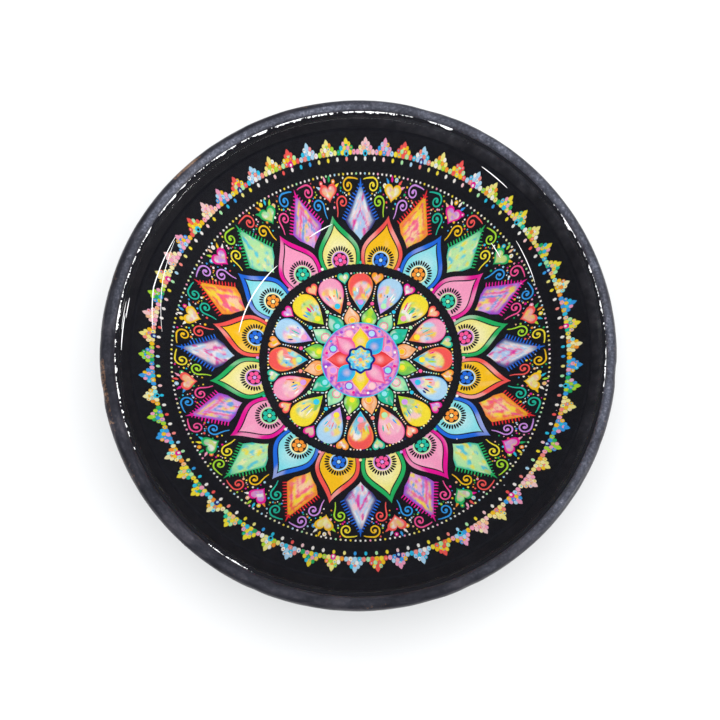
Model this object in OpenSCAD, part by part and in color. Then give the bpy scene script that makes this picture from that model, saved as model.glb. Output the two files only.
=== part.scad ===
// Shallow decorative bowl: a turned, slightly oval wooden bowl, a mandala print glued
// to its inside, a poured clear resin coat over the print, and a felt pad on its foot.
// Origin at the centre of the resting face, +Z up, millimetres.

/* [Bowl] */
// Width across the rim, along X
rim_d = 120; // [110:1:128]
// How much longer the rim is along Y than along X, as a share of its width
oval = 0.046; // [0:0.002:0.06]
// Overall height, from the table to the crest of the rim
overall_h = 28; // [26:0.5:32]
// Width of the rounded crest of the rim
crest_w = 3.1; // [2:0.1:4]
// Radius of the foot
foot_r = 32; // [30:1:36]
// Fullness of the outside wall: 1 is a straight cone, 2 is a quarter ellipse
fullness = 1.35; // [1.25:0.05:1.8]

/* [Inside] */
// Depth of the bare wooden inside, from the crest of the rim to the floor
depth = 22.8; // [21:0.2:23]
// Radius of the flat of the floor
flat_r = 12.8; // [11:0.2:16]
// Slope of the wall above the bend, in degrees
wall_a = 38.7; // [36:0.1:39]
// Width of the steeper band between the wall and the mouth
brow_w = 2.5; // [2:0.1:3]
// Height of that band
brow_rise = 2.3; // [2:0.1:3]

/* [Lining] */
// Thickness of the glue under the print
glue_t = 0.15; // [0.1:0.05:0.2]
// Thickness of the printed sheet
print_t = 0.25; // [0.2:0.05:0.3]
// Thickness of the resin on the wall
coat_t = 0.9; // [0.7:0.1:1]
// Thickness to which the resin thins at the mouth
thin_t = 0.3; // [0.2:0.05:0.5]
// Extra thickness of the resin where it pools in the middle
pool_t = 1.1; // [0.5:0.1:1.4]
// Radius at which the pool runs out on the wall
pool_r = 34; // [30:1:40]

/* [Foot pad] */
// Radius of the felt pad
pad_r = 30; // [20:1:30]
// Thickness of the felt pad
pad_t = 1; // [0.8:0.1:1.5]
// Thickness of the adhesive film on the pad
pad_glue_t = 0.15; // [0.1:0.05:0.2]

/* [Hidden] */
$fn = 120;
sides = 64;
crest_steps = 8;
wall_steps = 12;
inside_steps = 14;
brow_steps = 3;
oval_power = 1.5;
crest_r = crest_w / 2;
outer_r = rim_d / 2;
mouth_r = outer_r - crest_w;
brow_r = mouth_r - brow_w;
print_r = brow_r - glue_t;
foot_z = pad_t + pad_glue_t;
floor_z = overall_h - depth;
crest_z = overall_h - crest_r;
mouth_h = crest_z - floor_z;
brow_h = mouth_h - brow_rise;
bend_r = ((brow_r - flat_r) * tan(wall_a) - brow_h) / (1 / cos(wall_a) - 1);
knee_r = flat_r + bend_r * sin(wall_a);
knee_h = bend_r * (1 - cos(wall_a));

// Height of the wooden inside above its floor, at radius r
function inside(r) =
    r < flat_r ? 0
    : r < knee_r ? bend_r - sqrt(bend_r * bend_r - (r - flat_r) * (r - flat_r))
    : r < brow_r ? knee_h + (r - knee_r) * tan(wall_a)
    : brow_h + (mouth_h - brow_h) * (r - brow_r) / (mouth_r - brow_r);

// How much longer than wide the bowl is at height z
function longer(z) = 1 + oval * pow(max(0, z) / overall_h, oval_power);

// Points along the inside, lifted by a layer t thick, from radius a to radius b
function along(a, b, t) =
    [for (i = [0 : inside_steps])
        let (r = a + (b - a) * i / inside_steps) [r, floor_z + inside(r) + t]];

// The same list from its end to its start
function turned(points) = [for (i = [len(points) - 1 : -1 : 0]) points[i]];

// Height of the top of the resin above the wooden floor, at radius r
function resin_top(r) =
    let (
        pool = r < pool_r ? pool_t * pow(1 - pow(r / pool_r, 2), 2) : 0,
        up = max(0, (r - brow_r) / (mouth_r - brow_r)),
        full_t = glue_t + print_t + coat_t
    )
    inside(r) + pool + full_t + (thin_t - full_t) * up;

// One ring of the oval lathe, at a profile point p = [radius, height]
function ring(p) =
    [for (k = [0 : sides - 1])
        let (a = 360 * k / sides) [p[0] * cos(a), p[0] * longer(p[1]) * sin(a), p[1]]];

// Solid swept round the axis by a profile whose first and last points are on the axis
module oval_lathe(profile) {
    n = len(profile) - 2;
    last = n * sides + 1;
    points = concat(
        [[0, 0, profile[0][1]]],
        [for (i = [1 : n]) each ring(profile[i])],
        [[0, 0, profile[n + 1][1]]]
    );
    start = [for (k = [0 : sides - 1]) [0, 1 + k, 1 + (k + 1) % sides]];
    walls = [
        for (i = [0 : n - 2], k = [0 : sides - 1])
            let (
                a = 1 + i * sides + k,
                b = 1 + i * sides + (k + 1) % sides
            )
            each [[a, a + sides, b], [b, a + sides, b + sides]]
    ];
    end = [
        for (k = [0 : sides - 1])
            let (a = 1 + (n - 1) * sides + k, b = 1 + (n - 1) * sides + (k + 1) % sides)
            [a, last, b]
    ];
    polyhedron(points, concat(start, walls, end));
}

// Turned body: flat foot, full outside, rounded crest, dished inside
module bowl() {
    outside = [
        for (i = [0 : wall_steps])
            let (
                a = 90 - 90 * i / wall_steps,
                out = pow(cos(a), 2 / fullness),
                down = pow(sin(a), 2 / fullness)
            )
            [foot_r + (outer_r - foot_r) * out, crest_z - (crest_z - foot_z) * down]
    ];
    crest = [
        for (i = [1 : crest_steps])
            let (a = 180 * i / crest_steps)
            [outer_r - crest_r + crest_r * cos(a), crest_z + crest_r * sin(a)]
    ];
    color("#26242b")
    oval_lathe(concat([[0, foot_z]], outside, crest, turned(along(0, print_r, 0))));
}

// Glue film between the wood and the print
module print_adhesive() {
    color("#e8e2cf")
    oval_lathe(concat(along(0, print_r, 0), turned(along(0, print_r, glue_t))));
}

// Printed sheet, shaped to the dish
module print_sheet() {
    color("#d9447e")
    oval_lathe(concat(
        along(0, print_r, glue_t),
        turned(along(0, print_r, glue_t + print_t))
    ));
}

// Clear coat over the print and past its edge to the mouth, thicker where it pools
module clear_resin() {
    over = [
        for (r = concat(
            [for (i = [0 : inside_steps]) brow_r * i / inside_steps],
            [for (i = [1 : brow_steps]) brow_r + (mouth_r - brow_r) * i / brow_steps]
        )) [r, floor_z + resin_top(r)]
    ];
    color([0.8, 0.9, 1, 0.35])
    oval_lathe(concat(
        along(0, print_r, glue_t + print_t),
        [[print_r, floor_z + inside(print_r)], [mouth_r, floor_z + inside(mouth_r)]],
        turned(over)
    ));
}

// Adhesive film between the foot and its pad
module pad_adhesive() {
    color("#f0ead8")
    translate([0, 0, pad_t])
    cylinder(r = pad_r, h = pad_glue_t);
}

// Felt pad that the bowl stands on
module foot_pad() {
    color("#1d1d20")
    cylinder(r = pad_r, h = pad_t);
}

bowl();
print_adhesive();
print_sheet();
clear_resin();
pad_adhesive();
foot_pad();
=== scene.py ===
import math
import random
from math import cos, hypot, pi, radians, sin, sqrt, tan

import bpy
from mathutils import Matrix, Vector, noise


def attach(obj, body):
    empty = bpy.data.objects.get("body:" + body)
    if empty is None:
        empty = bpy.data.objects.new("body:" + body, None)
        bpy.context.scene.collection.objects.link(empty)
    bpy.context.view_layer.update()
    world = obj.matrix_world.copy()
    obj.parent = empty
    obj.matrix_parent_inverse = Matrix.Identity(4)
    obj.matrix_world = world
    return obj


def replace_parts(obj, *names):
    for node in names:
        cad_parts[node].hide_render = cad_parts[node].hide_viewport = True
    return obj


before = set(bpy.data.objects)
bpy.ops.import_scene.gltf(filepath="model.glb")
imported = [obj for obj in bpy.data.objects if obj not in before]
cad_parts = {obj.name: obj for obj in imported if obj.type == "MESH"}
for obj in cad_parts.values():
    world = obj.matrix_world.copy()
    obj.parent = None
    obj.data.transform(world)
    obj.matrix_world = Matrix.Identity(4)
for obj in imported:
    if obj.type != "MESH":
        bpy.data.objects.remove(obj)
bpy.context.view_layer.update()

# ---------------------------------------- the bowl's own sizes, in mm
MM = 0.001
RIM_R = 60.0
OVAL = 0.046
OVERALL_H = 28.0
CREST_W = 3.1
FOOT_R = 32.0
FULLNESS = 1.35
DEPTH = 22.8
FLAT_R = 12.8
WALL_A = radians(38.7)
BROW_W = 2.5
BROW_RISE = 2.3
GLUE_T = 0.15
PRINT_T = 0.25
COAT_T = 0.9
THIN_T = 0.3
POOL_T = 1.1
POOL_R = 34.0
PAD_R = 30.0
PAD_T = 1.0
PAD_GLUE_T = 0.15

CREST_R = CREST_W / 2
MOUTH_R = RIM_R - CREST_W
BROW_R = MOUTH_R - BROW_W
PRINT_R = BROW_R - GLUE_T
FOOT_Z = PAD_T + PAD_GLUE_T
FLOOR_Z = OVERALL_H - DEPTH
CREST_Z = OVERALL_H - CREST_R
MOUTH_H = CREST_Z - FLOOR_Z
BROW_H = MOUTH_H - BROW_RISE
BEND_R = ((BROW_R - FLAT_R) * tan(WALL_A) - BROW_H) / (1 / cos(WALL_A) - 1)
KNEE_R = FLAT_R + BEND_R * sin(WALL_A)
KNEE_H = BEND_R * (1 - cos(WALL_A))
SHEET_T = GLUE_T + PRINT_T
SPREAD = 0.00027  # how much the drawing opens out towards its edge, per mm
OFF_CENTRE = 0.5  # how far the hand-turned inside sits to the right of the outside
LAYER = 0.012  # height of one layer of ink
TAU = 2 * pi


def inside(r):
    """Height of the bare wooden inside above its floor, at radius r."""
    if r < FLAT_R:
        return 0.0
    if r < KNEE_R:
        return BEND_R - sqrt(BEND_R ** 2 - (r - FLAT_R) ** 2)
    if r < BROW_R:
        return KNEE_H + (r - KNEE_R) * tan(WALL_A)
    return BROW_H + (MOUTH_H - BROW_H) * (r - BROW_R) / (MOUTH_R - BROW_R)


def longer(z):
    """How much longer than wide the bowl is at height z."""
    return 1 + OVAL * (max(0.0, z) / OVERALL_H) ** 1.5


def resin_top(r):
    """Height of the top of the resin above the wooden floor, at radius r."""
    pool = POOL_T * (1 - (r / POOL_R) ** 2) ** 2 if r < POOL_R else 0.0
    up = max(0.0, (r - BROW_R) / (MOUTH_R - BROW_R))
    full = SHEET_T + COAT_T
    return inside(r) + pool + full + (THIN_T - full) * up


def clamp(x):
    return min(1.0, max(0.0, x))


def smooth(a, b, x):
    """0 up to a, 1 from b on, and eased in between."""
    t = clamp((x - a) / (b - a))
    return t * t * (3 - 2 * t)


def bumpy(x, y, z):
    """Soft noise between about -1 and 1."""
    return noise.noise(Vector((x, y, z)))


# ---------------------------------------- colours
def linear(hexa):
    """Linear colour from a display colour written as six hex digits."""
    out = []
    for k in (0, 2, 4):
        c = int(hexa[k:k + 2], 16) / 255
        out.append(c / 12.92 if c <= 0.04045 else ((c + 0.055) / 1.055) ** 2.4)
    return tuple(out)


def mix(a, b, t):
    return tuple(x + (y - x) * t for x, y in zip(a, b))


def paler(colour, t):
    return mix(colour, INK["white"], t)


INK = {name: linear(value) for name, value in {
    "white": "fbf8f4", "cream": "fbf3b8", "butter": "f9f08e", "yellow": "fce83a", "gold": "fccb1c",
    "orange": "fb9a34", "coral": "fa5c58", "red": "ee2b36", "peach": "fcc79c",
    "salmon": "fb9086", "blush": "fdd3d6", "pink": "fba9cb", "rose": "f8589e",
    "magenta": "ee0f9d", "purple": "a24ad8", "lilac": "d79cf0",
    "navy": "12207f", "blue": "1f6fe6", "azure": "37a3f0",
    "sky": "b5e0fb", "cyan": "2bc8ee", "aqua": "8feaf0", "teal": "1fc5a8", "green": "23b866",
    "mint": "b4f1b6", "lime": "b2e437", "black": "08080c",
}.items()}


# ---------------------------------------- materials
class Look:
    """A procedural material: its shader and the nodes that feed it."""

    def __init__(self, name, base=(0.5, 0.5, 0.5), rough=0.5, **sockets):
        self.material = bpy.data.materials.new(name)
        self.material.use_nodes = True
        self.nodes = self.material.node_tree.nodes
        self.links = self.material.node_tree.links
        self.shader = self.nodes["Principled BSDF"]
        self.feed("Base Color", base)
        self.feed("Roughness", rough)
        for key, value in sockets.items():
            self.feed(key.replace("_", " "), value)

    def feed(self, key, value, node=None):
        """Set an input of a node, or link it; the node is the shader where none is given."""
        socket = (node or self.shader).inputs[key]
        if isinstance(value, bpy.types.NodeSocket):
            self.links.new(value, socket)
        else:
            socket.default_value = (*value, 1) if socket.type == "RGBA" else value

    def new(self, kind, **inputs):
        node = self.nodes.new("ShaderNode" + kind)
        for key, value in inputs.items():
            self.feed(key, value, node)
        return node

    def place(self):
        return self.new("TexCoord").outputs["Object"]

    def noise(self, scale, detail, where, rough=0.6):
        return self.new("TexNoise", Scale=scale, Detail=detail, Roughness=rough, Vector=where).outputs["Fac"]

    def ramp(self, source, *stops):
        r = self.new("ValToRGB", Fac=source)
        while len(r.color_ramp.elements) < len(stops):
            r.color_ramp.elements.new(0.5)
        for e, (position, colour) in zip(r.color_ramp.elements, stops):
            e.position = position
            e.color = (*colour, 1)
        return r.outputs["Color"]

    def blend(self, fac, a, b, how="MIX"):
        m = self.new("Mix")
        m.data_type = "RGBA"
        m.blend_type = how
        for k, value in ((0, fac), (6, a), (7, b)):
            self.feed(k, value, m)
        return m.outputs[2]

    def calculate(self, operation, *values):
        n = self.new("Math")
        n.operation = operation
        for k, value in enumerate(values):
            self.feed(k, value, n)
        return n.outputs[0]

    def marked(self, name):
        """A value from 0 to 1 that the mesh carries."""
        n = self.new("Attribute")
        n.attribute_name = name
        return n.outputs["Fac"]

    def bump(self, source, strength, distance):
        dent = self.new("Bump", Strength=strength, Distance=distance, Height=source)
        self.feed("Normal", dent.outputs["Normal"])


def flat_ink(name):
    return Look("ink_" + name, INK[name], 0.5, Specular_IOR_Level=0.1).material


def wash_ink():
    """Printed watercolour: the ink painted on the mesh, with the grain of the paper in it."""
    look = Look("ink_wash", rough=0.5, Specular_IOR_Level=0.1)
    ink = look.new("VertexColor")
    ink.layer_name = "ink"
    grain = look.noise(2600, 3, look.place())
    tone = look.ramp(grain, (0.3, (0.86, 0.86, 0.88)), (0.7, (1, 1, 1)))
    look.feed("Base Color", look.blend(1.0, ink.outputs["Color"], tone, "MULTIPLY"))
    return look.material


def black_ink():
    look = Look("ink_ground", rough=0.5, Specular_IOR_Level=0.1)
    grain = look.noise(900, 4, look.place())
    look.feed("Base Color", look.ramp(grain, (0.35, (0.003, 0.003, 0.006)), (0.75, (0.007, 0.0075, 0.012))))
    return look.material


def stained_wood():
    """Black stain on turned wood: fine grain, pale grey where it is worn by rubbing and where a highlight is
    painted along the crest, and brown where it has worn off.
    """
    look = Look("stained_wood", rough=0.4, Coat_Weight=0.3, Coat_Roughness=0.2, Specular_IOR_Level=0.35)
    where = look.place()
    stretch = look.new("Mapping", Vector=where, Scale=(0.22, 0.22, 2.4))
    grain = look.noise(700, 6, stretch.outputs["Vector"], 0.7)
    cloud = look.noise(85, 5, where)
    speck = look.noise(1500, 4, where, 0.75)
    streak = look.ramp(grain, (0.3, (0.006, 0.006, 0.009)), (0.5, (0.014, 0.014, 0.020)),
                       (0.7, (0.046, 0.042, 0.050)))
    tone = look.ramp(cloud, (0.3, (0.6, 0.6, 0.65)), (0.7, (1.3, 1.25, 1.3)))
    dark = look.blend(1.0, streak, tone, "MULTIPLY")
    # pale grey to near white: the stain worn by rubbing, and the painted highlight along the crest
    chalky_painted_sheen = look.ramp(speck, (0.34, (0.036, 0.040, 0.056)), (0.52, (0.085, 0.092, 0.125)),
                       (0.66, (0.20, 0.205, 0.26)), (0.76, (0.55, 0.55, 0.66)))
    stain = look.blend(look.marked("rubbed_and_sheen"), dark, chalky_painted_sheen)
    brown = look.ramp(grain, (0.3, (0.050, 0.024, 0.014)), (0.55, (0.15, 0.082, 0.050)),
                      (0.75, (0.30, 0.20, 0.145)))
    ragged = look.calculate("MULTIPLY_ADD", speck, 1.7, -0.85)
    worn = look.calculate("ADD", look.marked("wear"), ragged)
    look.feed("Base Color", look.blend(look.ramp(worn, (0.42, (0, 0, 0)), (0.62, (1, 1, 1))), stain, brown))
    gloss = look.ramp(cloud, (0.3, (0.30,) * 3), (0.7, (0.52,) * 3))
    look.feed("Roughness", gloss)
    look.bump(look.calculate("ADD", grain, speck), 0.5, 0.00018)
    return look.material


def black_lacquer():
    look = Look("black_lacquer", rough=0.5, Specular_IOR_Level=0.1)
    cloud = look.noise(400, 4, look.place())
    deep = look.ramp(cloud, (0.35, (0.004, 0.004, 0.007)), (0.75, (0.011, 0.010, 0.014)))
    # painted reflection: grey on the lacquer at the right of the brow, where the resin would mirror the light
    painted_reflection = look.ramp(cloud, (0.3, (0.022, 0.022, 0.030)), (0.5, (0.045, 0.046, 0.060)),
                      (0.7, (0.10, 0.098, 0.115)))
    look.feed("Base Color", look.blend(look.marked("rubbed_and_sheen"), deep, painted_reflection))
    return look.material


def clear_glass():
    """Clear resin that lets light through to what lies under it."""
    look = Look("clear_resin", (1, 1, 1), 0.02, Transmission_Weight=1.0, IOR=1.5)
    pick = look.new("MixShader", Fac=look.new("LightPath").outputs["Is Shadow Ray"])
    look.feed(1, look.shader.outputs["BSDF"], pick)
    look.feed(2, look.new("BsdfTransparent").outputs["BSDF"], pick)
    look.feed("Surface", pick.outputs["Shader"], look.nodes["Material Output"])
    return look.material


def felt():
    look = Look("black_felt", rough=0.95, Sheen_Weight=0.5, Sheen_Roughness=0.5)
    where = look.place()
    fibre = look.noise(2200, 6, where, 0.8)
    dark = look.ramp(fibre, (0.3, (0.008, 0.008, 0.010)), (0.72, (0.055, 0.054, 0.060)))
    tone = look.ramp(look.noise(160, 3, where), (0.3, (0.7, 0.7, 0.7)), (0.7, (1, 1, 1)))
    look.feed("Base Color", look.blend(1.0, dark, tone, "MULTIPLY"))
    look.bump(fibre, 0.8, 0.0003)
    return look.material


def glue():
    look = Look("dry_glue", rough=0.35)
    cloud = look.noise(300, 4, look.place())
    look.feed("Base Color", look.ramp(cloud, (0.3, (0.50, 0.46, 0.36)), (0.7, (0.72, 0.69, 0.60))))
    look.bump(cloud, 0.3, 0.0001)
    return look.material


def frosted():
    """Milky white of the dust and the tiny bubbles in the resin."""
    look = Look("crazed_resin", rough=0.25)
    grain = look.noise(1800, 4, look.place())
    look.feed("Base Color", look.ramp(grain, (0.3, (0.42, 0.41, 0.50)), (0.6, (0.85, 0.84, 0.92))))
    look.bump(grain, 0.6, 0.0002)
    return look.material


def painted_glint():
    """Raised resin coloured white with a faint glow: a painted highlight that stands in for the lamps'
    reflections all along it.
    """
    look = Look("resin_glint", rough=0.2, Emission_Color=(1, 1, 1), Emission_Strength=0.25)
    grain = look.noise(600, 2, look.place())
    look.feed("Base Color", look.ramp(grain, (0.3, (0.8, 0.8, 0.84)), (0.6, (1, 1, 1))))
    return look.material


# ---------------------------------------- mesh building
def place(name, data):
    """A new object in the scene."""
    ob = bpy.data.objects.new(name, data)
    bpy.context.collection.objects.link(ob)
    return ob


class Patch:
    """Vertices and faces of one piece, each face with a material and each vertex with an ink."""

    def __init__(self, materials):
        self.materials = materials
        self.verts, self.inks, self.faces, self.kinds = [], [], [], []

    def add(self, point, ink=(1, 1, 1)):
        self.verts.append(point)
        self.inks.append(ink)
        return len(self.verts) - 1

    def face(self, corners, kind=0):
        self.faces.append(corners)
        self.kinds.append(kind)

    def grid(self, first, rows, cols, kind=0, wrap=False):
        """Quads over vertices laid out row by row from first, with cols vertices in each row."""
        for i in range(rows - 1):
            for j in range(cols if wrap else cols - 1):
                k = (j + 1) % cols
                a, b = first + i * cols, first + (i + 1) * cols
                self.face((a + j, a + k, b + k, b + j), kind)

    def caps(self, rows, sides):
        """Close the first and the last of the rows."""
        self.face(tuple(reversed(range(sides))))
        self.face(tuple(range((rows - 1) * sides, rows * sides)))

    def build(self, name, slot):
        me = bpy.data.meshes.new(name)
        me.from_pydata(self.verts, [], self.faces)
        used = sorted(set(self.kinds), key=str)
        for kind in used:
            me.materials.append(self.materials[kind])
        index = {kind: i for i, kind in enumerate(used)}
        me.polygons.foreach_set("material_index", [index[k] for k in self.kinds])
        me.polygons.foreach_set("use_smooth", [True] * len(self.faces))
        if "wash" in used:
            layer = me.color_attributes.new("ink", "FLOAT_COLOR", "POINT")
            layer.data.foreach_set("color", [c for ink in self.inks for c in (*ink, 1)])
        me.update()
        ob = place(name, me)
        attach(ob, "root")
        return ob


def drape(x, y, layer):
    """A point of the flat drawing, laid on the printed sheet and lifted by a hair for each layer."""
    grow = 1 + SPREAD * hypot(x, y)
    x, y = x * grow, y * grow
    z = FLOOR_Z + inside(hypot(x, y)) + SHEET_T + layer * LAYER
    return ((x + OFF_CENTRE) * MM, y * longer(z) * MM, z * MM)


def at(turn, p, q, layer):
    """A point of a motif: q outwards from the centre, p clockwise, turn clockwise from the top."""
    s, c = sin(turn), cos(turn)
    return drape(q * s + p * c, q * c - p * s, layer)


materials = {"wash": wash_ink(), "ground": black_ink()}
for ink_name in INK:
    materials[ink_name] = flat_ink(ink_name)


def kind_of(paint):
    return paint if isinstance(paint, str) else "wash"


def tint(paint, *where):
    """The ink of a vertex: what a paint function gives there, or white under a plain ink."""
    return (1, 1, 1) if isinstance(paint, str) else paint(*where)


class Art(Patch):
    """One ring of the print. A paint is the name of an ink or a function that gives a colour."""

    def __init__(self):
        super().__init__(materials)

    def build(self, name):
        super().build(name, "printed_paper")

    def blade(self, turn, q0, q1, half, layer, paint, rows=20, cols=12):
        """Strip along the line from q0 to q1, reaching half(t) to each side; its paint gets t, v, p, q."""
        first = len(self.verts)
        for i in range(rows + 1):
            t = i / rows
            q, w = q0 + (q1 - q0) * t, max(0.015, half(t))
            for j in range(cols + 1):
                v = (-1 + 2 * j / cols) * (1 if q1 > q0 else -1)
                self.add(at(turn, v * w, q, layer), tint(paint, t, v, v * w, q))
        self.grid(first, rows + 1, cols + 1, kind_of(paint))

    def fan(self, turn, p, q, outline, layer, paint, rings=1):
        """Shape round (p, q); outline is a list of steps from it, anticlockwise; its paint gets s, dp, dq."""
        n, middle, kind = len(outline), len(self.verts), kind_of(paint)
        self.add(at(turn, p, q, layer), tint(paint, 0, 0, 0))
        for k in range(1, rings + 1):
            s = k / rings
            for dp, dq in outline:
                self.add(at(turn, p + s * dp, q + s * dq, layer), tint(paint, s, s * dp, s * dq))
        for j in range(n):
            following = (j + 1) % n
            self.face((middle, middle + 1 + j, middle + 1 + following), kind)
            for k in range(rings - 1):
                a, b = middle + 1 + k * n, middle + 1 + (k + 1) * n
                self.face((a + j, b + j, b + following, a + following), kind)

    def dot(self, turn, p, q, r, layer, paint, sides=10, rings=1, tall=1.0):
        self.fan(turn, p, q, [(r * cos(TAU * k / sides), r * tall * sin(TAU * k / sides))
                              for k in range(sides)], layer, paint, rings)

    def ribbon(self, turn, path, widths, layer, paint):
        """Stroke along a path of (p, q) points, with its half width at each."""
        first = len(self.verts)
        for k, (p, q) in enumerate(path):
            a, b = path[max(0, k - 1)], path[min(len(path) - 1, k + 1)]
            dp, dq = b[0] - a[0], b[1] - a[1]
            size = hypot(dp, dq) or 1
            for side in (-1, 1):
                self.add(at(turn, p - side * dq / size * widths[k], q + side * dp / size * widths[k],
                            layer))
        for k in range(len(path) - 1):
            a = first + 2 * k
            self.face((a, a + 2, a + 3, a + 1), paint)

    def ring(self, r0, r1, layer, paint, sides=256, rows=2, wave=None):
        """Flat ring in a plain ink; wave(a) is how far its two edges swing out."""
        first = len(self.verts)
        for i in range(rows + 1):
            for j in range(sides):
                a = TAU * j / sides
                r = r0 + (r1 - r0) * i / rows
                if wave:
                    r += wave(a) * (-1 if i == 0 else 1) * (i in (0, rows))
                self.add(drape(r * cos(a), r * sin(a), layer))
        for i in range(rows):
            for j in range(sides):
                k = (j + 1) % sides
                a, b = first + i * sides, first + (i + 1) * sides
                self.face((a + j, b + j, b + k, a + k), paint)


def drop_shape(width, belly, ogee):
    """Half width of a drop along its axis: round at 0, widest at belly, pointed at 1."""
    def half(t):
        if t < belly:
            u = t / belly
            return width * sqrt(max(0.0, u * (2 - u)))
        u = (t - belly) / (1 - belly)
        return width * ((1 - ogee) * cos(pi / 2 * u) + ogee * 0.5 * (1 + cos(pi * u)))
    return half


def wash(base, accents, p, q, seed, scale=0.8, stretch=2.0, low=0.06, high=0.26):
    """Watercolour: the base ink with soft patches of the accent inks."""
    colour = base
    for k, accent in enumerate(accents):
        n = bumpy(p * scale + seed * 3.7, q * scale / stretch - seed * 1.9, seed * 7.31 + k * 13.17)
        colour = mix(colour, accent, smooth(low, high, n))
    return colour


def inks(*names):
    return [INK[n] for n in names]


STEPS = 16
STEP = TAU / STEPS


def names(text):
    """A list of inks, or of tuples of inks where strokes join them."""
    return [tuple(word.split("/")) if "/" in word else word for word in text.split()]


def cycle(text):
    """Inks for a ring of motifs: the same few all round."""
    few = names(text)
    return [few[k % len(few)] for k in range(STEPS)]


def on_step(k):
    """Clockwise from 3 o'clock, on the axes of the diamonds and teardrops."""
    return TAU / 4 + k * STEP


def half_step(k):
    """Clockwise from just below 3 o'clock, on the axes of the petals and hearts."""
    return TAU / 4 + (k + 0.5) * STEP


# ---------------------------------------- centre of the print
def centre():
    art = Art()

    def pink_wash(s, dp, dq):
        base = wash(INK["lilac"], inks("pink", "blush", "rose", "purple", "pink"), dp, dq, 3, 1.1, 1.0)
        return mix(base, INK["purple"], 0.55 * smooth(0.9, 1.0, s))

    art.dot(0, 0, 0, 9.9, 5, pink_wash, 96, 28)
    art.ring(9.75, 10.0, 6, "cyan", 128, 1)
    petals = names("yellow/gold azure/cyan coral/red pink/rose") * 2
    shape = drop_shape(2.15, 0.42, 0.55)
    for k, (body, shade) in enumerate(petals):
        turn = k * TAU / 8

        def paint(t, v, p, q):
            tone = mix(INK[body], INK[shade], smooth(0.35, 0.95, abs(v)))
            return mix(tone, INK["blush"], 0.7 * max(0.0, 1 - hypot(p, q - 4.9) / 1.3))

        higher = 0.5 * (k % 2)
        art.blade(turn, 2.6, 8.85, lambda t: shape(t) + 0.14, 7 + higher, "rose" if k % 2 else "pink", 16, 8)
        art.blade(turn, 2.6, 8.55, shape, 8 + higher, paint, 18, 10)
        side = turn + TAU / 16
        art.dot(side, 0, 7.5, 1.1, 9, ("purple", "pink")[k % 2], 16, 2)
        art.dot(side, 0, 7.5, 0.8, 10, ("sky", "lilac", "aqua", "blush")[k % 4], 14, 2)
        art.dot(side, -1.7, 8.6, 0.4, 7, ("magenta", "purple")[k % 2], 8)
        art.dot(side, 1.6, 8.8, 0.35, 7, ("azure", "white")[k % 2], 8)

    def lobes(r, deep):
        """Outline of a round flower with eight lobes."""
        turns = [TAU * j / 96 for j in range(96)]
        sizes = [r * (1 + deep * cos(8 * a)) for a in turns]
        return [(size * cos(a), size * sin(a)) for size, a in zip(sizes, turns)]

    def bloom(s, dp, dq):
        base = wash(INK["cyan"], inks("azure", "aqua", "yellow", "cyan"), dp, dq, 11, 1.2, 1.0)
        return paler(base, 0.35 * smooth(0.15, 0.5, s) * (1 - smooth(0.5, 0.8, s)))

    art.fan(0, 0, 0, lobes(3.55, 0.07), 9, "navy", 3)
    art.fan(0, 0, 0, lobes(2.95, 0.08), 10, bloom, 8)
    for k in range(8):
        turn = TAU * (k + 0.5) / 8
        art.dot(turn, 0, 1.65, 0.2, 11, ("yellow", "salmon", "lime", "gold")[k % 4], 8, 1, 1.3)
    art.dot(0, 0, 0, 0.5, 12, "salmon", 16)
    art.dot(0, 0.1, 0.1, 0.22, 13, "gold", 10)
    art.build("art_centre")


# ---------------------------------------- the ring of small leaves and their beads
LEAVES = cycle("lime mint teal peach")
LEAF_EDGES = cycle("green teal green orange")
LEAF_SPOTS = cycle("yellow/lime blush/rose aqua/teal gold/orange")
BEADS = cycle("rose cyan mint salmon")


def small_leaves():
    art = Art()
    shape = drop_shape(1.95, 0.4, 0.35)
    spot_q = 10.75
    for k in range(STEPS):
        turn = half_step(k)
        body, edge = INK[LEAVES[k]], INK[LEAF_EDGES[k]]

        def paint(t, v, p, q):
            tone = wash(body, [paler(body, 0.5), mix(body, edge, 0.5)], p, q, 20 + k, 0.7)
            return mix(tone, edge, 0.85 * smooth(0.72, 0.95, abs(v)))

        art.blade(turn, 9.1, 14.6, shape, 2, paint, 20, 10)
        spot, halo = LEAF_SPOTS[k]
        art.dot(turn, 0, spot_q, 1.15, 3, halo, 18)
        art.dot(turn, 0, spot_q, 0.92, 4, LEAVES[k], 18)
        art.dot(turn, 0, spot_q, 0.68, 5, spot, 14)
    art.build("art_small_leaves")


PALE = names("white white cream sky blush mint white peach yellow aqua")
BRIGHT = names("yellow gold coral cyan white pink lime azure green peach magenta orange white sky")


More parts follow.
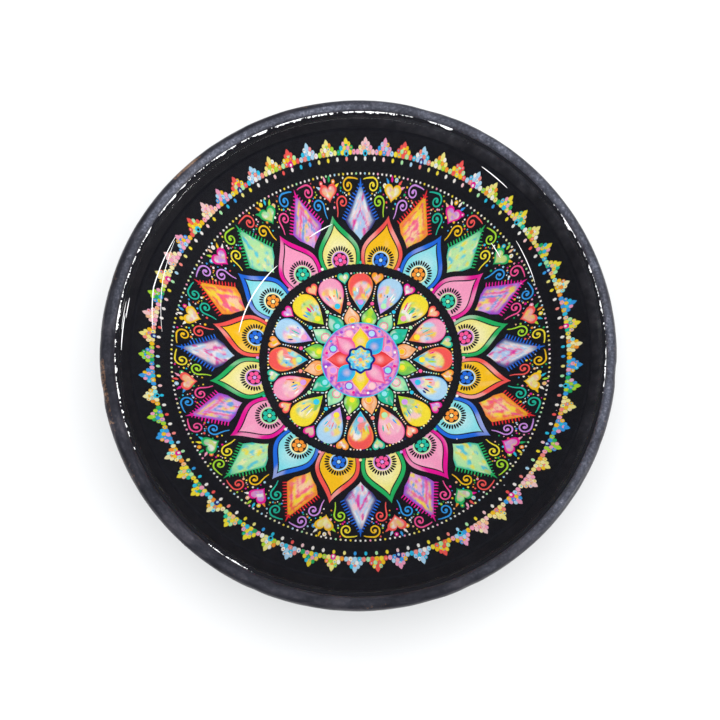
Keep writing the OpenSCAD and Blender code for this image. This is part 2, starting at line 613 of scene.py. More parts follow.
def inner_beads():
    """Beads, dashes and fine dots in the black ground between the leaves, the teardrops and the ring."""
    art = Art()
    for k in range(STEPS):
        turn = half_step(k)
        art.dot(turn, 0, 15.45, 0.5, 2, BEADS[k], 12)
        for j in range(7):
            q = 16.35 + j * 0.62
            art.dot(turn, 0, q, 0.17 + 0.04 * (j % 2), 2, PALE[(j * 3 + k) % len(PALE)], 7)
        foot = on_step(k)
        for side in (-1, 1):
            for j, t in enumerate((0.2, 0.5, 0.8)):
                # from the tip of the teardrop out to the bead beside it
                p, q = side * 2.95 * t, 12.35 + 2.6 * t
                dp, dq = side * 0.75, 0.66
                size = (0.4, 0.32, 0.22)[j]
                art.ribbon(foot, [(p - dp * size, q - dq * size), (p, q), (p + dp * size, q + dq * size)],
                           [0.1, 0.16, 0.1], 2, PALE[(j + 2 * k + (side > 0)) % len(PALE)])
        art.ribbon(foot, [(0, 11.7), (0, 12.05), (0, 12.4)], [0.08, 0.2, 0.1], 2, "white")
    count, fine_q, gap = 180, 23.35, 1.75
    for j in range(count):
        a = TAU * j / count
        away = (a / STEP - 4 - 0.5) % 1
        # none where a heart stands
        if min(away, 1 - away) * STEP * 23.5 < gap:
            continue
        art.dot(a, 0, fine_q, 0.2 + 0.05 * (j % 3 == 0), 2, (PALE + names("rose teal navy"))[(j * 7) % 13], 7)
    # small beads where neighbouring petals meet the black ring
    for k in range(STEPS):
        art.dot(on_step(k), 0, 25.95, 0.38, 20, ("pink", "white", "teal", "lilac", "cream")[k % 5], 9)
    art.build("art_inner_beads")


# ---------------------------------------- teardrops and inner hearts
DROPS = cycle("coral/orange/cyan/yellow sky/azure/lilac/pink "
              "yellow/gold/lime/green pink/magenta/orange/blush")
INNER_HEARTS = cycle("gold lilac peach mint")
HEART_EDGES = cycle("orange magenta coral teal")

STROKES = names("magenta azure yellow navy aqua coral lime white blue orange pink teal gold cyan")


def teardrops():
    art = Art()
    shape = drop_shape(3.2, 0.31, 0.12)
    round_q, tip_q = 23.35, 13.35
    for k in range(STEPS):
        crescent, edge, tip, accent = (INK[n] for n in DROPS[k])
        core = inks("sky", "cream", "blush", "aqua", "white")[k % 5]

        def paint(t, v, p, q):
            tone = wash(core, [paler(tip, 0.25), paler(crescent, 0.2)],
                        p, q, 40 + k, 0.5, 1.4, 0.0, 0.2)
            for j, extra in enumerate((accent, INK["yellow"], paler(accent, 0.4))):
                n = bumpy(p * 0.7 + 5 * k, q * 0.5, 3.3 * j + k)
                tone = mix(tone, extra, 0.8 * smooth(0.16, 0.36, n))
            lean = 0.5 * (-1) ** k
            round_end = smooth(2.15, 2.9, hypot(p * 1.02 - lean, q - 18.6))
            tone = mix(tone, crescent, round_end * smooth(16.9, 17.5, q))
            tone = mix(tone, tip, smooth(0.66, 0.8, t))
            return mix(tone, edge, 0.9 * smooth(0.86, 0.97, abs(v)))

        art.blade(on_step(k), round_q, tip_q, shape, 1, paint, 34, 20)
        strokes = 4 + k % 3
        for j in range(strokes):
            a = radians(-20 + 40 * j / (strokes - 1) + 5 * bumpy(k * 1.7, j * 2.1, 3))
            near, far = 4.5 + 1.4 * bumpy(k * 1.3, j * 1.7, 6), 5.9 + 1.8 * bumpy(j * 1.9, k * 1.1, 8)
            fat = 0.2 + 0.22 * bumpy(j * 2.3, k * 0.7, 4)
            stroke = [(r * sin(a), tip_q + r * cos(a)) for r in (near, (near + far) / 2, far)]
            art.ribbon(on_step(k), stroke, [fat * 0.5, fat, fat * 0.35], 2,
                       STROKES[(k * 5 + j * 3 + (k * j) % 4) % len(STROKES)])
        art.dot(on_step(k), 0, 15.6, 0.78, 2, names("yellow lilac pink cyan mint")[(k * 3) % 5], 14)
    art.build("art_teardrops")


def heart(width, height, n=28):
    """Outline of a heart whose point is at the inner end, centred."""
    pts = []
    for j in range(n):
        a = TAU * j / n
        x = sin(a) ** 3
        y = (13 * cos(a) - 5 * cos(2 * a) - 2 * cos(3 * a) - cos(4 * a)) / 29 + 0.09
        pts.append((-x * width / 2, y * height))
    return pts


def hearts(name, q, width, height, fills, edges, seed):
    """A ring of hearts at radius q, each with its edge in a second ink."""
    art = Art()
    for k in range(STEPS):
        turn, fill, edge = half_step(k), INK[fills[k]], edges[k]
        art.fan(turn, 0, q, heart(width, height), 3, edge, 3)

        def paint(s, dp, dq):
            tone = wash(fill, [INK["white"], mix(fill, INK["pink"], 0.6), mix(fill, INK["yellow"], 0.5)],
                        dp, dq, seed + k, 0.9, 1.0)
            return mix(tone, INK[edge], 0.5 * smooth(0.75, 1, s))

        art.fan(turn, 0, q, heart(width * 0.76, height * 0.76), 4, paint, 6)
    art.build(name)


# ---------------------------------------- the black ring and the big petals
PETALS = cycle("gold/coral/blue/sky aqua/blue/orange/cream "
               "pink/magenta/teal/mint butter/green/rose/lilac")


def petal_shape(width, q0, q1, belly, reach):
    """Half width of a big petal along its axis: cut off at q0, widest at belly, ogee tip at q1."""
    def half(t):
        q = q0 + (q1 - q0) * t
        if q < belly:
            return width * sqrt(max(0.0, 1 - ((belly - q) / reach) ** 2))
        u = (q - belly) / (q1 - belly)
        return width * (0.42 * cos(pi / 2 * u) + 0.58 * 0.5 * (1 + cos(pi * u)))
    return half


def big_petals():
    art = Art()
    base = 24.7
    for k in range(STEPS):
        turn = half_step(k)
        fill, edge = inks(*PETALS[k][:2])
        art.blade(turn, base, 39.0, petal_shape(6.5, base, 39.0, 29.2, 8.2), 5, "ground", 24, 14)

        def rim(t, v, p, q):
            return wash(edge, [paler(edge, 0.35)], p, q, 60 + k, 0.3, 3.0, 0.0, 0.4)

        art.blade(turn, base, 37.4, petal_shape(5.35, base, 37.4, 28.6, 6.7), 8, rim, 26, 14)
        art.blade(turn, base, 35.75, petal_shape(4.5, base, 35.75, 28.4, 6.0), 9, "ground", 26, 12)

        def body(t, v, p, q):
            light = paler(fill, 0.6)
            near = max(0.0, 1 - hypot(p, q - 29.9) / 3.6)
            tone = mix(fill, light, (0.8 if k % 2 else 0.0) * near)
            return wash(tone, [paler(tone, 0.1)], p, q, 80 + k, 0.6, 2.0, 0.1, 0.5)

        art.blade(turn, base, 35.2, petal_shape(4.27, base, 35.2, 28.35, 5.9), 10, body, 26, 16)
    art.build("art_big_petals")


def petal_rosettes():
    """A rosette of six round petals on each big petal, with dark rays over it."""
    art = Art()
    middle_q = 26.95
    for k in range(STEPS):
        turn = half_step(k)
        flower, halo = PETALS[k][2:]
        art.dot(turn, 0, middle_q, 2.2, 12, halo, 28, 2)
        art.dot(turn, 0, middle_q, 1.86, 13, "ground", 28, 2)
        for j in range(6):
            a = TAU * j / 6
            art.dot(turn, 1.12 * sin(a), middle_q + 1.12 * cos(a), 0.55, 14, flower, 16)
        art.dot(turn, 0, middle_q, 0.45, 14, halo, 14)
        rays = 18
        for j in range(rays):
            a = radians(-104 + 208 * j / (rays - 1))
            s, c = sin(a), cos(a)
            art.ribbon(turn, [(r * s, middle_q + r * c) for r in (2.4, 2.95, 3.5)], [0.17, 0.25, 0.14], 12,
                       "ground")
    art.build("art_petal_rosettes")


def black_ring():
    art = Art()
    art.ring(23.8, 25.45, 19, "ground", 640, 2, wave=lambda a: 0.14 * abs(sin(64 * a)))
    art.build("art_black_ring")


# ---------------------------------------- diamonds
DIAMONDS = cycle("sky/blue/navy/azure/white/blush/magenta gold/red/orange/peach/coral/yellow/rose "
                 "mint/green/teal/lime/cream/cyan/yellow lilac/magenta/purple/pink/yellow/rose/azure")


def kite(q_in, q_mid, q_out, width):
    """Half width of a lozenge along its axis, widest at q_mid."""
    def half(t):
        q = q_in + (q_out - q_in) * t
        if q < q_mid:
            u = (q - q_in) / (q_mid - q_in)
            return width * u ** 0.86
        return width * (1 - (q - q_mid) / (q_out - q_mid))
    return half


def diamonds():
    art = Art()
    q_in, q_mid, q_out, width = 30.6, 35.9, 43.6, 3.95
    shape = kite(q_in, q_mid, q_out, width)
    for k in range(STEPS):
        turn = on_step(k)
        fringe = DIAMONDS[k][1]
        body, _, edge, *extra = inks(*DIAMONDS[k])
        plain = k % 4 == 2

        def paint(t, v, p, q):
            middle = smooth(0.1, 0.75, 1 - abs(v)) * smooth(0.05, 0.3, t) * (1 - smooth(0.5, 0.85, t))
            tone = mix(body, paler(extra[0], 0.45), 0.75 * middle)
            steep = (q_out - q_mid) / width
            inward = (q_out - q) - steep * abs(p) + 0.5 * bumpy(p * 2 + k, q * 2, 7)
            for j, accent in enumerate(extra[1:]):
                n = bumpy(p * 1.0 + 3 * k, q * 0.6, 2.1 * j + 1.7 * k)
                tone = mix(tone, accent, 0.85 * smooth(0.14 + 0.07 * j, 0.3 + 0.07 * j, n))
                # chevrons that follow the outer edges
                band = 0 if plain else 1 - abs(inward - 2.0 - 1.75 * j) / 0.62
                tone = mix(tone, accent, 0.85 * smooth(0.0, 0.5, band))
            far = smooth(0.78, 0.96, abs(v)) if plain else smooth(0.55, 0.95, abs(v))
            return mix(mix(tone, edge, 0.95 * far), edge, 0.75 * smooth(0.76, 1.0, t))

        art.blade(turn, q_in, q_out, shape, 1, paint, 34, 20)
        spine = math.atan2(width, q_out - q_mid)
        for side in (-1, 1):
            nx, ny = side * cos(spine), sin(spine)
            count = 12
            for j in range(count):
                t = (j + 0.4) / count
                p = side * width * (1 - t) * 1.03
                q = q_mid - 0.1 + (q_out - q_mid) * t
                long = 0.95 if j < count - 3 else 0.5
                art.ribbon(turn, [(p - 0.15 * nx, q - 0.15 * ny), (p + 0.5 * long * nx, q + 0.5 * long * ny),
                                  (p + long * nx, q + long * ny)], [0.13, 0.14, 0.08], 2, fringe)
        art.ribbon(turn, [(0, q_out - 0.9), (0, q_out), (0, q_out + 0.9)], [0.3, 0.2, 0.03], 3, fringe)
    art.build("art_diamonds")


# ---------------------------------------- outer field: hearts' crowns, scrolls and beads
OUTER_HEARTS = cycle("cream lilac mint peach")
OUTER_EDGES = cycle("gold magenta green coral")
SCROLLS = cycle("coral azure yellow lilac lime rose gold teal")


def scroll(art, turn, p, q, side, start, tail, paint):
    """Coil round (p, q) with a ball in the middle; it opens at the angle start into a tail."""
    size, n = 1.5, 26
    path, widths = [], []
    for dp, dq in reversed(tail):
        path.append((p + side * dp, q + dq))
        widths.append(0.07 + 0.09 * len(path) / len(tail))
    for j in range(n + 1):
        t = j / n
        a = radians(start - 430 * t)
        r = size * (1 - 0.74 * t ** 0.85)
        path.append((p + side * r * cos(a), q + r * sin(a)))
        widths.append(0.18 - 0.03 * t)
    if side < 0:
        path.reverse()
        widths.reverse()
    art.ribbon(turn, path, widths, 3, paint)
    end = path[-1] if side > 0 else path[0]
    art.dot(turn, (end[0] + p) / 2, (end[1] + q) / 2, 0.37, 4, paint, 12)


def outer_field():
    art = Art()
    for k in range(STEPS):
        turn = half_step(k)
        # crown of drops over each heart
        for j, a in enumerate((-62, -38, -13, 13, 38, 62)):
            s, c = sin(radians(a)), cos(radians(a))
            paint = BRIGHT[(k * 5 + j * 3) % len(BRIGHT)]
            p, q = 2.55 * s, 41.95 + 2.75 * c
            if (j + k) % 3 == 0:
                art.dot(turn, p, q, 0.48, 3, paint, 10)
                art.dot(turn, p, q, 0.2, 4, "white" if k % 2 else "yellow", 7)
            else:
                art.ribbon(turn, [(p - 0.5 * s, q - 0.5 * c), (p, q), (p + 0.75 * s, q + 0.75 * c)],
                           [0.12, 0.3, 0.06], 3, paint)
        for side in (-1, 1):
            # lower scrolls beside the petal tips
            p, q = side * 3.2, 39.8
            scroll(art, turn, p, q, side, 180, [(-1.5, -0.9), (-1.6, -1.9), (-1.9, -2.9)],
                   SCROLLS[(k * 3 + (side > 0) * 7) % STEPS])
            # beads round them
            for j in range(8):
                a = radians(10 + 27 * j)
                r = 2.05 + 0.4 * (j % 2)
                bp, bq = p + side * r * cos(a), q + r * sin(a) * 0.95
                art.dot(turn, bp, bq, 0.15 + 0.1 * ((j + k) % 3 == 0) + 0.04 * (j % 2), 2.5,
                        BRIGHT[(k + 3 * j + (side > 0)) % len(BRIGHT)], 8)
        turn = on_step(k)
        for side in (-1, 1):
            p, q = side * 3.15, 43.0
            scroll(art, turn, p, q, side, 90, [(-0.9, 1.48), (-1.7, 1.42), (-2.4, 1.25)],
                   SCROLLS[(k * 5 + (side > 0) * 4 + 2) % STEPS])
            for j in range(8):
                a = radians(-165 + 30 * j)
                bp, bq = p + side * 2.0 * cos(a), q + 1.95 * sin(a)
                if abs(bp) < 0.9 or abs(bp) < 0.55 * (43.6 - bq) + 1.1:
                    continue
                art.dot(turn, bp, bq, 0.15 + 0.07 * ((j + k) % 2), 2.5,
                        BRIGHT[(2 * k + 5 * j + 1) % len(BRIGHT)], 8)
    art.build("art_scrolls")


# ---------------------------------------- bead rings and teeth
def bead_rings():
    art = Art()
    tints = names("white white cream white yellow sky white mint pink white butter white")
    for j in range(256):
        art.dot(TAU * j / 256, 0, 45.3, 0.24, 2, tints[(j * 5 + j // 9) % len(tints)], 8)
    tints = names("white sky cyan white salmon azure blush white butter yellow coral yellow mint white")
    for j in range(128):
        art.dot(TAU * (j + 0.5) / 128, 0, 48.0, 0.34, 2, tints[(j * 3 + j // 7) % len(tints)], 9, 1, 1.25)
    art.build("art_bead_rings")


TOOTH_SETS = names("blush/peach/cream/pink azure/cyan/gold/pink yellow/green/pink/cyan "
                   "coral/gold/yellow/mint butter/gold/salmon/cream cream/aqua/orange/gold "
                   "butter/orange/lime/white pink/azure/gold/sky lime/green/azure/pink "
                   "yellow/teal/mint/peach sky/cyan/salmon/white")


def teeth():
    art = Art()
    count, base = 64, 48.75
    bead_rows = [(0.42, 0.47, (-1.95, -0.98, 0, 0.98, 1.95)), (1.18, 0.43, (-1.32, -0.44, 0.44, 1.32)),
                 (1.9, 0.4, (-0.72, 0, 0.72))]
    for k in range(count):
        turn = TAU * (k + 0.25) / count
        tip, left, right, low = TOOTH_SETS[(k * 7 + k // 5) % len(TOOTH_SETS)]
        tall = 3.0 + 0.3 * bumpy(k * 0.9, 3.1, 0)
        tooth = inks(tip, left, right, low)

        def mosaic(t, v, p, q):
            n = bumpy(p * 1.25 + 9 * k, q * 1.25, 1.0) * 2.6 + 1.7 + (1.2 - 2.4 * t)
            return mix(tooth[int(n) % 4], (0.01, 0.01, 0.012), 0.45)

        art.blade(turn, base, base + tall, lambda t: 2.3 * (1 - t), 1, mosaic, 14, 12)
        for i, (q, r, places) in enumerate(bead_rows):
            for j, p in enumerate(places):
                paint = (low, tip, right, left, tip)[(i * 2 + j + k) % 5]
                art.dot(turn, p, base + q, r, 2 + 0.3 * i, paint, 10, 1, 1.1)
                if (i + j + k) % 2:
                    art.dot(turn, p - 0.05, base + q + 0.06, 0.17, 3,
                            BRIGHT[(j + 3 * k + i) % len(BRIGHT)], 7)
        art.blade(turn, base + 1.9, base + tall + 0.12,
                  lambda t: 0.5 * sin(pi * (0.2 + 0.8 * t)) ** 0.9, 3, tip, 8, 4)
        if k % 3 == 0:
            art.dot(turn, 0, base + 0.28, 0.62, 3, ("cyan", "navy", "magenta")[k // 3 % 3], 12)
            art.dot(turn, 0, base + 0.14, 0.3, 4, ("black", "sky", "white")[k // 3 % 3], 8)
    art.build("art_teeth")


centre()
small_leaves()
inner_beads()
teardrops()
hearts("art_inner_hearts", 22.15, 3.15, 3.2, INNER_HEARTS, HEART_EDGES, 140)
diamonds()
big_petals()
petal_rosettes()
black_ring()
hearts("art_outer_hearts", 41.95, 4.5, 3.7, OUTER_HEARTS, OUTER_EDGES, 170)
outer_field()
bead_rings()
teeth()


# ---------------------------------------- turned solids
def lathe(name, slot, material, profile, sides=256, shift=None, attribute=None, off_centre=None, painted=None,
          closed=True):
    """Oval turned solid, or an open band where closed is off.

    shift(a, r, z) moves a point, attribute(a, r, z) gives its wear and its rubbing with painted highlight,
    off_centre(r, z) is how much of the inside's offset it takes, and painted is a second material with a test
    of where it goes.
    """
    patch = Patch({0: material, 1: painted[0] if painted else material})
    values = []
    for r, z in profile:
        for k in range(sides):
            a = TAU * k / sides
            rr, zz = shift(a, r, z) if shift else (r, z)
            off = OFF_CENTRE * (off_centre(r, z) if off_centre else 1)
            patch.add(((rr * cos(a) + off) * MM, rr * longer(zz) * sin(a) * MM, zz * MM))
            if attribute:
                values.append(attribute(a, r, z))
    rows = len(profile)
    patch.grid(0, rows, sides, 0, wrap=True)
    if closed:
        patch.caps(rows, sides)
    if painted:
        for i in range(rows - 1):
            if painted[1](*profile[i]) and painted[1](*profile[i + 1]):
                patch.kinds[i * sides:(i + 1) * sides] = [1] * sides
    ob = patch.build(name, slot)
    if attribute:
        for word, column in zip(("wear", "rubbed_and_sheen"), zip(*values)):
            layer = ob.data.attributes.new(word, "FLOAT", "POINT")
            layer.data.foreach_set("value", column)
    return ob


def inside_profile(r_from, r_to, count, lift):
    """Points along the wooden inside, raised by lift."""
    radii = [r_from + (r_to - r_from) * k / count for k in range(count + 1)]
    return [(r, FLOOR_Z + inside(r) + lift) for r in radii]


def bowl():
    profile = [(r, FOOT_Z) for r in (0.5, 10, 20, FOOT_R - 1.2)] + [(FOOT_R - 0.4, FOOT_Z + 0.02)]
    for k in range(1, 49):
        a = TAU / 4 * (1 - k / 48)
        out, down = cos(a) ** (2 / FULLNESS), sin(a) ** (2 / FULLNESS)
        profile.append((FOOT_R + (RIM_R - FOOT_R) * out, CREST_Z - (CREST_Z - FOOT_Z) * down))
    for k in range(1, 21):
        a = pi * k / 20
        profile.append((RIM_R - CREST_R + CREST_R * cos(a), CREST_Z + CREST_R * sin(a)))
    profile += inside_profile(0.5, MOUTH_R, 40, 0)[-2::-1]

    def dished(r, z):
        """1 over the inside of the bowl, 0 over its outside."""
        low_side = FLOOR_Z + inside(min(r, MOUTH_R)) - 0.01
        return 1 - smooth(MOUTH_R, RIM_R - CREST_R, r) if z > low_side else 0

    def shift(a, r, z):
        """Hand finishing: the rim and the outside are uneven, and the crest is chipped and flattened."""
        x, y = cos(a), sin(a)
        rim = smooth(6, 26, z) * smooth(56.3, 57.5, r)
        wobble = 0.1 * (bumpy(x * 3.1, y * 3.1, z * 0.05) + 1) + 0.04 * (bumpy(x * 17, y * 17, z * 0.4) + 1)
        top = smooth(26.6, 28, z)
        chip = smooth(0.2, 0.55, bumpy(x * 9 + 4, y * 9, z * 0.1)) * 0.35
        flat = 0.25 * smooth(0.1, 0.5, bumpy(x * 4.5, y * 4.5 + 9, 2))
        if r > 56.95 and z > 5:
            r -= rim * (wobble * 0.8 + 0.6 * chip * smooth(20, 27, z) * smooth(58.2, 59.2, r))
            z -= top * (flat + 0.05 * (bumpy(x * 25, y * 25, 5) + 1))
        return r, z

    def wear(a, r, z):
        """How far the stain has worn off at a point, and how much lighter it is: rubbing, a painted highlight
        along the crest and a painted reflection on the brow at the right.
        """
        x, y = cos(a), sin(a)
        if z > 20 and 53 < r <= MOUTH_R + 0.01 and dished(r, z) > 0.5:
            # painted reflection: the lacquered brow is made grey on the right, where the resin would mirror
            # the light
            right = smooth(0.2, 0.85, cos(a - 0.5)) * (0.8 + 0.9 * bumpy(x * 9, y * 9, 3))
            return 0.0, clamp(right * smooth(54.4, 57.0, r))
        if z < 8 or (r < 56.9 and z < 27):
            return 0.0, 0.0
        degrees = math.degrees(a) % 360
        side = max(0.0, 1 - abs(degrees - 125) / 40)
        left = 0.6 * max(0.0, 1 - abs(degrees - 190) / 28)
        edge = smooth(23, 26, z) * smooth(58.2, 58.8, r)
        patchy = smooth(-0.05, 0.4, bumpy(x * 6, y * 6, z * 0.12))
        # painted highlight along the crest: patchy, brightest on the right and in a stripe at the upper left,
        # faint all round
        patch_of_light = 0.75 + 0.5 * bumpy(x * 7, y * 7, z * 0.3)
        right = smooth(-0.1, 0.8, cos(a - 0.3)) * smooth(0.0, 0.9, 1 - abs(r - 58.0) / 1.9)
        right *= 0.8 + 0.9 * max(0.0, bumpy(x * 14, y * 14, 8))
        stripe = smooth(0.5, 0.95, cos(a - 2.2)) * smooth(0.0, 0.8, 1 - abs(r - 57.6) / 0.8)
        stripe *= 0.7 + 0.8 * max(0.0, bumpy(x * 12, y * 12, 6))
        rest = 0.12 * smooth(0.0, 0.8, 1 - abs(r - 58.0) / 1.2)
        crest = smooth(25, 27.4, z) * patch_of_light * max(1.1 * right, 1.5 * stripe, rest)
        return 0.5 * edge * patchy * (0.35 + 1.0 * side + left) + 0.1 * edge, clamp(crest)

    ob = lathe("bowl_body", "blackened_wood", stained_wood(), profile, 384, shift, wear, dished,
               (black_lacquer(), lambda r, z: r <= MOUTH_R + 0.01 and dished(r, z) > 0.5))
    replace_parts(ob, "bowl")


def sheet():
    top = inside_profile(0.4, PRINT_R, 72, SHEET_T)
    low = inside_profile(0.4, PRINT_R, 24, GLUE_T)
    ob = lathe("print_paper", "printed_paper", materials["ground"], low + list(reversed(top)), 256)
    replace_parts(ob, "print_sheet")


def film(glue_film):
    top = inside_profile(0.4, PRINT_R, 40, GLUE_T)
    low = inside_profile(0.4, PRINT_R, 40, 0.02)
    ob = lathe("glue_film", "glue_film", glue_film, low + list(reversed(top)), 192)
    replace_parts(ob, "print_adhesive")


def resin():
    top = [(r, FLOOR_Z + resin_top(r)) for r in (0.4 + (MOUTH_R - 0.45) * k / 110 for k in range(111))]
    low = inside_profile(0.4, PRINT_R, 30, SHEET_T - 0.06)
    low += [(PRINT_R + 0.1, FLOOR_Z + inside(PRINT_R) + 0.02),
            (MOUTH_R - 0.02, FLOOR_Z + inside(MOUTH_R) + 0.02)]

    def shift(a, r, z):
        x, y = r * cos(a), r * sin(a)
        if z > FLOOR_Z + inside(r) + 0.6 or r > BROW_R:
            fade = smooth(0, 10, r) * (1 - smooth(MOUTH_R - 1.2, MOUTH_R, r))
            z += fade * 0.02 * bumpy(x * 0.08, y * 0.08, 1.5)
        return r, z

    ob = lathe("resin_coat", "clear_resin", clear_glass(), low + list(reversed(top)), 320, shift)
    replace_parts(ob, "clear_resin")


def run(patch, points, width, height):
    """Half-round bead of resin lying on the resin along points (r, angle in degrees)."""
    n = 7
    first = len(patch.verts)
    path = []
    for r, degrees in points:
        a = radians(degrees)
        path.append((r * cos(a), r * sin(a)))
    for k, (x, y) in enumerate(path):
        b, c = path[max(0, k - 1)], path[min(len(path) - 1, k + 1)]
        dx, dy = c[0] - b[0], c[1] - b[1]
        size = hypot(dx, dy)
        t = k / (len(path) - 1)
        swell = sin(pi * min(1, max(0, 0.04 + 0.92 * t))) ** 0.5
        for j in range(n):
            s = -1 + 2 * j / (n - 1)
            px, py = x - dy / size * s * width * swell, y + dx / size * s * width * swell
            r = hypot(px, py)
            z = FLOOR_Z + resin_top(r) - 0.02 + height * swell * sqrt(max(0.0, 1 - s * s))
            patch.add(((px + OFF_CENTRE) * MM, py * longer(z) * MM, z * MM))
    for k in range(len(path) - 1):
        for j in range(n - 1):
            a = first + k * n + j
            patch.face((a, a + n, a + n + 1, a + 1))


def arc(r0, a0, r1, a1, n=24):
    """Points (r, angle in degrees) from one to another, on a spiral."""
    return [(r0 + (r1 - r0) * k / n, a0 + (a1 - a0) * k / n) for k in range(n + 1)]


def resin_runs():
    # thin runs of resin, coloured with the painted highlight where thin reflections of the lamps lie on the
    # resin
    patch = Patch({0: painted_glint()})
    curved = arc(51.9, 151, 51.4, 166) + arc(51.4, 166, 49.7, 177)[1:]
    beside = arc(51.6, 152, 50.2, 163) + arc(50.2, 163, 47.8, 177)[1:]
    for path, width, height in (
            (arc(31.3, 169, 32.2, 132), 0.15, 0.13), (arc(34.2, 113, 35.6, 102), 0.11, 0.1),
            (curved, 0.1, 0.09), (beside, 0.06, 0.06), (arc(55.3, 171, 55.2, 176), 0.08, 0.05),
            (arc(55.5, 175, 55.6, 184), 0.09, 0.05), (arc(55.8, 172, 55.8, 179), 0.05, 0.04),
            (arc(53.0, 55, 52.6, 46), 0.09, 0.08), (arc(46.9, 34, 45.8, 20), 0.08, 0.08),
            (arc(42.9, 39.5, 42.4, 33.5), 0.09, 0.08)):
        run(patch, path, width, height)
    patch.build("resin_runs", "clear_resin")


def resin_edge():
    """Ragged edge of the resin along the mouth, coloured with a painted highlight that is brightest round the
    upper left.
    """
    patch = Patch({0: painted_glint()})
    n = 1800
    cross = 4
    for k in range(n):
        a0 = TAU * k / n
        degrees = math.degrees(a0)
        # how strong the painted highlight is at each angle round the mouth
        strong = smooth(62, 70, degrees) * (1 - smooth(196, 214, degrees))
        strong = max(strong, 1.15 * smooth(10, 13, degrees) * (1 - smooth(19, 22, degrees)),
                     1.15 * smooth(25, 27, degrees) * (1 - smooth(30, 32, degrees)),
                     0.42 * smooth(231, 235, degrees) * (1 - smooth(244, 249, degrees)),
                     0.5 * smooth(336, 350, degrees), 0.5 * (1 - smooth(34, 46, degrees)))
        rough = 0.7 * bumpy(k * 0.023, 11.3, 0) + 0.9 * bumpy(k * 0.17, 4.7, 0)
        rough += 0.9 * bumpy(k * 0.53, 9.1, 0)
        w = strong * (0.13 + 0.34 * rough)
        w += 0.42 * strong * max(0.0, 1 - abs(degrees - 67.5) / 1.9)
        if strong <= 0 or w < 0.07:
            continue
        first = len(patch.verts)
        for a in (a0, a0 + TAU / n * 1.05):
            for j in range(cross):
                s = -1 + 2 * j / (cross - 1)
                r = min(MOUTH_R + 0.02 + 0.25 * bumpy(a * 30, 1.7, 3) + s * min(w, 0.4), MOUTH_R + 0.25)
                z = FLOOR_Z + resin_top(min(r, MOUTH_R)) + 0.03 + 0.12 * w * (1 - s * s)
                z += 1.2 * max(0, r - MOUTH_R)
                patch.add(((r * cos(a) + OFF_CENTRE) * MM, r * longer(z) * sin(a) * MM, z * MM))
        for j in range(cross - 1):
            patch.face((first + j, first + j + 1, first + cross + j + 1, first + cross + j))
    patch.build("resin_edge", "clear_resin")


def lacquer_line():
    """Narrow band of black lacquer that laps over the edge of the resin."""
    radii = [MOUTH_R - 0.6 + 0.15 * k for k in range(6)]
    band = [(r, FLOOR_Z + resin_top(min(MOUTH_R, r)) + 0.015) for r in radii]
    black = Look("lacquer_line", (0.008, 0.008, 0.011), 0.15).material
    lathe("lacquer_line", "blackened_wood", black, band, 384, closed=False)


def ball(patch, x, y, z, r, n=8):
    """Add a small ball to a patch."""
    first = len(patch.verts)
    patch.add((x * MM, y * MM, (z - r) * MM))
    for i in range(1, n // 2):
        b = pi * i / (n // 2)
        for j in range(n):
            a = TAU * j / n
            patch.add(((x + r * sin(b) * cos(a)) * MM, (y + r * sin(b) * sin(a)) * MM,
                       (z - r * cos(b)) * MM))
    top = patch.add((x * MM, y * MM, (z + r) * MM))
    for j in range(n):
        patch.face((first, first + 1 + (j + 1) % n, first + 1 + j))
        patch.face((top, top - n + j, top - n + (j + 1) % n))
    patch.grid(first + 1, n // 2 - 1, n, 0, wrap=True)


def specks():
    """Dust and tiny bubbles caught at the top of the resin."""
    patch = Patch({0: frosted()})
    rng = random.Random(7)
    for _ in range(46):
        r = 53.5 * sqrt(rng.random())
        a = TAU * rng.random()
        size = 0.07 + 0.12 * rng.random() ** 3
        z = FLOOR_Z + resin_top(r) - 0.3 * size
        ball(patch, r * cos(a), r * sin(a) * longer(z), z, size)
    patch.build("resin_specks", "clear_resin")


def pad():
    edge = 0.25
    lower = [(0.5, 0.0), (12, 0.0), (22, 0.0), (PAD_R - edge, 0.0), (PAD_R - 0.07, 0.08), (PAD_R, edge)]
    profile = lower + [(r, PAD_T - z) for r, z in reversed(lower)]
    patch = Patch({0: felt()})
    sides = 240
    for r, z in profile:
        for k in range(sides):
            a = TAU * k / sides
            fuzz = 0.09 * (bumpy(k * 0.7, z * 3, 1) - 1) * (r > 29)
            patch.add(((r + fuzz) * cos(a) * MM, (r + fuzz) * sin(a) * MM, z * MM))
    patch.grid(0, len(profile), sides, 0, wrap=True)
    patch.caps(len(profile), sides)
    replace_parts(patch.build("felt_pad", "felt"), "foot_pad")


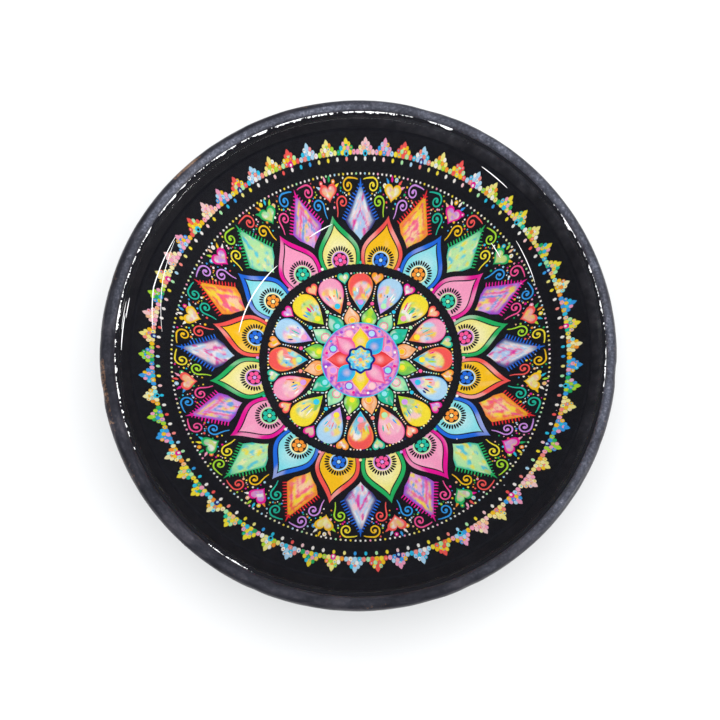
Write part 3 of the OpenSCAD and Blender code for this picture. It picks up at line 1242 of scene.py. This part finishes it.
bowl()
sheet()
resin()
resin_runs()
resin_edge()
lacquer_line()
specks()
pad()
glue_film = glue()
film(glue_film)
pad_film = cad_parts["pad_adhesive"].data
if pad_film.materials:
    pad_film.materials[0] = glue_film
else:
    pad_film.materials.append(glue_film)


# ---------------------------------------- studio
def aim_at(ob, location, target):
    ob.location = location
    ob.rotation_mode = "QUATERNION"
    ob.rotation_quaternion = (target - location).to_track_quat("-Z", "Y")


def studio():
    me = bpy.data.meshes.new("floor")
    size = 3.0
    corners = [(-size, -size, 0), (size, -size, 0), (size, size, 0), (-size, size, 0)]
    me.from_pydata(corners, [], [(0, 1, 2, 3)])
    me.materials.append(Look("pale_floor", (0.7, 0.7, 0.7), 0.9, Specular_IOR_Level=0.0).material)
    floor = place("floor", me)

    scene = bpy.context.scene
    scene.view_settings.view_transform = "Standard"
    world = bpy.data.worlds.new("studio")
    scene.world = world
    world.use_nodes = True
    sky = world.node_tree.nodes["Background"]
    sky.inputs["Color"].default_value = (0.96, 0.98, 1.0, 1)
    path = world.node_tree.nodes.new("ShaderNodeLightPath")
    dim = world.node_tree.nodes.new("ShaderNodeMapRange")
    dim.inputs["To Min"].default_value = 1.02
    dim.inputs["To Max"].default_value = 0.12
    world.node_tree.links.new(path.outputs["Is Glossy Ray"], dim.inputs["Value"])
    world.node_tree.links.new(dim.outputs["Result"], sky.inputs["Strength"])

    sun = bpy.data.lights.new("overhead", "SUN")
    sun.energy = 2.3
    sun.angle = radians(100)
    ob = place("overhead", sun)
    ob.rotation_euler = (0.1, 0.09, 0)
    ob.visible_glossy = False

    lamp = bpy.data.lights.new("sparkle", "AREA")
    lamp.shape = "DISK"
    lamp.size = 0.22
    lamp.energy = 1.6
    aim_at(place("sparkle", lamp), Vector((0.9, -0.35, 0.32)), Vector((0, 0, 0.02)))

    cam = bpy.data.cameras.new("camera")
    ob = place("camera", cam)
    tilt, away = radians(17.8), 0.2257
    target = Vector((OFF_CENTRE * MM, 0, 0.0056))
    aim_at(ob, target + Vector((0, -sin(tilt), cos(tilt))) * away, target)
    cam.sensor_width = 36
    cam.lens = 44.2
    cam.shift_x = -0.5 / 720
    cam.shift_y = 0.4 / 720
    cam.clip_start = 0.01
    scene.camera = ob


studio()
